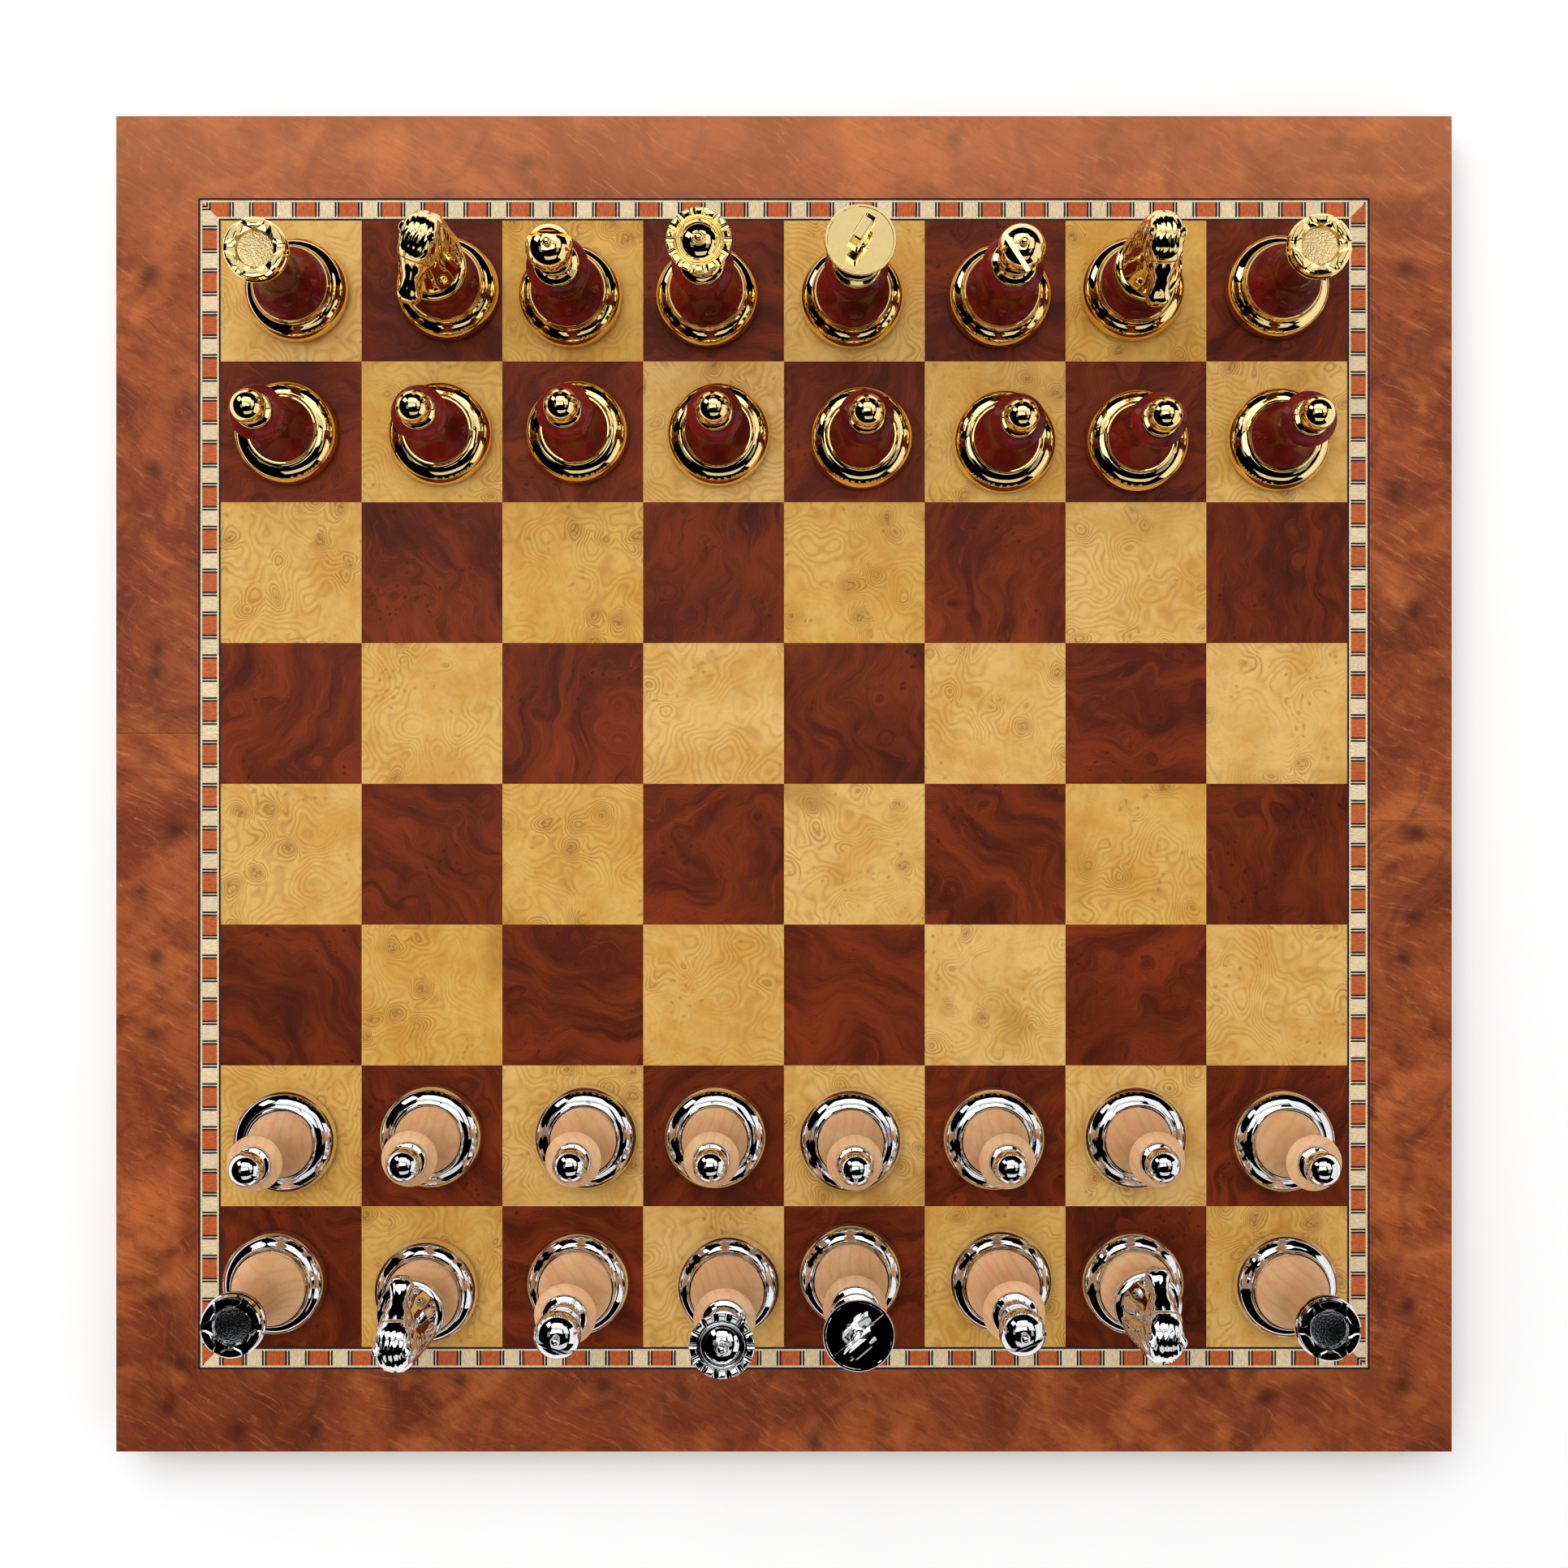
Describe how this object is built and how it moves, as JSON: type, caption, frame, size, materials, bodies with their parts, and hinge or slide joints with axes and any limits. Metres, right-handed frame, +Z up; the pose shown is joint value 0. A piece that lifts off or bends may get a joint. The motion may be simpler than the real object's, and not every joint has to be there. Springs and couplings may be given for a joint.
{
  "type": "chess set with board",
  "caption": "Chess set on an inlaid veneered board, laid out for play, with turned men that have plated metal bases and heads on wooden bodies.",
  "frame": {"origin": "centre of the underside of the board, which stands on the table", "axes": "+Z up out of the playing surface, +X to the right and +Y away from the player who has the light wood men, so files a to h run along +X and ranks 1 to 8 along +Y"},
  "size_m": [0.332, 0.332, 0.08],
  "materials": {
    "core_board": "matt",
    "edge_veneer": "satin lacquer",
    "border_burl": "satin lacquer",
    "dark_veneer": "satin lacquer",
    "light_burl": "satin lacquer",
    "pale_inlay": "satin lacquer",
    "red_inlay": "satin lacquer",
    "black_inlay": "satin lacquer",
    "gold_plate": "polished gold-coloured plate",
    "silver_plate": "polished silver-coloured plate",
    "red_mahogany": "gloss lacquer",
    "maple": "satin lacquer"
  },
  "bodies": {
    "board": {"board_core": "core_board", "edge_lipping": "edge_veneer", "border_veneer": "border_burl", "dark_squares": "dark_veneer", "light_squares": "light_burl", "banding_pale_strips": "pale_inlay", "banding_red_blocks": "red_inlay", "banding_dark_lines": "black_inlay"},
    "black_bishop_c": {"black_bishop_c_metal": "gold_plate", "black_bishop_c_wood": "red_mahogany"},
    "black_bishop_f": {"black_bishop_f_metal": "gold_plate", "black_bishop_f_wood": "red_mahogany"},
    "black_king": {"black_king_base": "gold_plate", "black_king_body": "red_mahogany", "black_king_crown": "gold_plate"},
    "black_knight_b": {"black_knight_b_metal": "gold_plate", "black_knight_b_wood": "red_mahogany"},
    "black_knight_g": {"black_knight_g_metal": "gold_plate", "black_knight_g_wood": "red_mahogany"},
    "black_pawn_a": {"black_pawn_a": "gold_plate"},
    "black_pawn_b": {"black_pawn_b": "gold_plate"},
    "black_pawn_c": {"black_pawn_c": "gold_plate"},
    "black_pawn_d": {"black_pawn_d": "gold_plate"},
    "black_pawn_e": {"black_pawn_e": "gold_plate"},
    "black_pawn_f": {"black_pawn_f": "gold_plate"},
    "black_pawn_g": {"black_pawn_g": "gold_plate"},
    "black_pawn_h": {"black_pawn_h": "gold_plate"},
    "black_queen": {"black_queen_base": "gold_plate", "black_queen_body": "red_mahogany", "black_queen_crown": "gold_plate"},
    "black_rook_a": {"black_rook_a_metal": "gold_plate", "black_rook_a_wood": "red_mahogany"},
    "black_rook_h": {"black_rook_h_metal": "gold_plate", "black_rook_h_wood": "red_mahogany"},
    "white_bishop_c": {"white_bishop_c_metal": "silver_plate", "white_bishop_c_wood": "maple"},
    "white_bishop_f": {"white_bishop_f_metal": "silver_plate", "white_bishop_f_wood": "maple"},
    "white_king": {"white_king_base": "silver_plate", "white_king_body": "maple", "white_king_crown": "silver_plate"},
    "white_knight_b": {"white_knight_b_metal": "silver_plate", "white_knight_b_wood": "maple"},
    "white_knight_g": {"white_knight_g_metal": "silver_plate", "white_knight_g_wood": "maple"},
    "white_pawn_a": {"white_pawn_a": "silver_plate"},
    "white_pawn_b": {"white_pawn_b": "silver_plate"},
    "white_pawn_c": {"white_pawn_c": "silver_plate"},
    "white_pawn_d": {"white_pawn_d": "silver_plate"},
    "white_pawn_e": {"white_pawn_e": "silver_plate"},
    "white_pawn_f": {"white_pawn_f": "silver_plate"},
    "white_pawn_g": {"white_pawn_g": "silver_plate"},
    "white_pawn_h": {"white_pawn_h": "silver_plate"},
    "white_queen": {"white_queen_base": "silver_plate", "white_queen_body": "maple", "white_queen_crown": "silver_plate"},
    "white_rook_a": {"white_rook_a_metal": "silver_plate", "white_rook_a_wood": "maple"},
    "white_rook_h": {"white_rook_h_metal": "silver_plate", "white_rook_h_wood": "maple"}
  },
  "joints": [
    {"name": "black_bishop_c_lift", "type": "slide", "parent": "board", "child": "black_bishop_c", "axis": [0, 0, 1], "range_m": [0, 0.08]},
    {"name": "black_bishop_f_lift", "type": "slide", "parent": "board", "child": "black_bishop_f", "axis": [0, 0, 1], "range_m": [0, 0.08]},
    {"name": "black_king_lift", "type": "slide", "parent": "board", "child": "black_king", "axis": [0, 0, 1], "range_m": [0, 0.08]},
    {"name": "black_knight_b_lift", "type": "slide", "parent": "board", "child": "black_knight_b", "axis": [0, 0, 1], "range_m": [0, 0.08]},
    {"name": "black_knight_g_lift", "type": "slide", "parent": "board", "child": "black_knight_g", "axis": [0, 0, 1], "range_m": [0, 0.08]},
    {"name": "black_pawn_a_lift", "type": "slide", "parent": "board", "child": "black_pawn_a", "axis": [0, 0, 1], "range_m": [0, 0.08]},
    {"name": "black_pawn_b_lift", "type": "slide", "parent": "board", "child": "black_pawn_b", "axis": [0, 0, 1], "range_m": [0, 0.08]},
    {"name": "black_pawn_c_lift", "type": "slide", "parent": "board", "child": "black_pawn_c", "axis": [0, 0, 1], "range_m": [0, 0.08]},
    {"name": "black_pawn_d_lift", "type": "slide", "parent": "board", "child": "black_pawn_d", "axis": [0, 0, 1], "range_m": [0, 0.08]},
    {"name": "black_pawn_e_lift", "type": "slide", "parent": "board", "child": "black_pawn_e", "axis": [0, 0, 1], "range_m": [0, 0.08]},
    {"name": "black_pawn_f_lift", "type": "slide", "parent": "board", "child": "black_pawn_f", "axis": [0, 0, 1], "range_m": [0, 0.08]},
    {"name": "black_pawn_g_lift", "type": "slide", "parent": "board", "child": "black_pawn_g", "axis": [0, 0, 1], "range_m": [0, 0.08]},
    {"name": "black_pawn_h_lift", "type": "slide", "parent": "board", "child": "black_pawn_h", "axis": [0, 0, 1], "range_m": [0, 0.08]},
    {"name": "black_queen_lift", "type": "slide", "parent": "board", "child": "black_queen", "axis": [0, 0, 1], "range_m": [0, 0.08]},
    {"name": "black_rook_a_lift", "type": "slide", "parent": "board", "child": "black_rook_a", "axis": [0, 0, 1], "range_m": [0, 0.08]},
    {"name": "black_rook_h_lift", "type": "slide", "parent": "board", "child": "black_rook_h", "axis": [0, 0, 1], "range_m": [0, 0.08]},
    {"name": "white_bishop_c_lift", "type": "slide", "parent": "board", "child": "white_bishop_c", "axis": [0, 0, 1], "range_m": [0, 0.08]},
    {"name": "white_bishop_f_lift", "type": "slide", "parent": "board", "child": "white_bishop_f", "axis": [0, 0, 1], "range_m": [0, 0.08]},
    {"name": "white_king_lift", "type": "slide", "parent": "board", "child": "white_king", "axis": [0, 0, 1], "range_m": [0, 0.08]},
    {"name": "white_knight_b_lift", "type": "slide", "parent": "board", "child": "white_knight_b", "axis": [0, 0, 1], "range_m": [0, 0.08]},
    {"name": "white_knight_g_lift", "type": "slide", "parent": "board", "child": "white_knight_g", "axis": [0, 0, 1], "range_m": [0, 0.08]},
    {"name": "white_pawn_a_lift", "type": "slide", "parent": "board", "child": "white_pawn_a", "axis": [0, 0, 1], "range_m": [0, 0.08]},
    {"name": "white_pawn_b_lift", "type": "slide", "parent": "board", "child": "white_pawn_b", "axis": [0, 0, 1], "range_m": [0, 0.08]},
    {"name": "white_pawn_c_lift", "type": "slide", "parent": "board", "child": "white_pawn_c", "axis": [0, 0, 1], "range_m": [0, 0.08]},
    {"name": "white_pawn_d_lift", "type": "slide", "parent": "board", "child": "white_pawn_d", "axis": [0, 0, 1], "range_m": [0, 0.08]},
    {"name": "white_pawn_e_lift", "type": "slide", "parent": "board", "child": "white_pawn_e", "axis": [0, 0, 1], "range_m": [0, 0.08]},
    {"name": "white_pawn_f_lift", "type": "slide", "parent": "board", "child": "white_pawn_f", "axis": [0, 0, 1], "range_m": [0, 0.08]},
    {"name": "white_pawn_g_lift", "type": "slide", "parent": "board", "child": "white_pawn_g", "axis": [0, 0, 1], "range_m": [0, 0.08]},
    {"name": "white_pawn_h_lift", "type": "slide", "parent": "board", "child": "white_pawn_h", "axis": [0, 0, 1], "range_m": [0, 0.08]},
    {"name": "white_queen_lift", "type": "slide", "parent": "board", "child": "white_queen", "axis": [0, 0, 1], "range_m": [0, 0.08]},
    {"name": "white_rook_a_lift", "type": "slide", "parent": "board", "child": "white_rook_a", "axis": [0, 0, 1], "range_m": [0, 0.08]},
    {"name": "white_rook_h_lift", "type": "slide", "parent": "board", "child": "white_rook_h", "axis": [0, 0, 1], "range_m": [0, 0.08]}
  ]
}
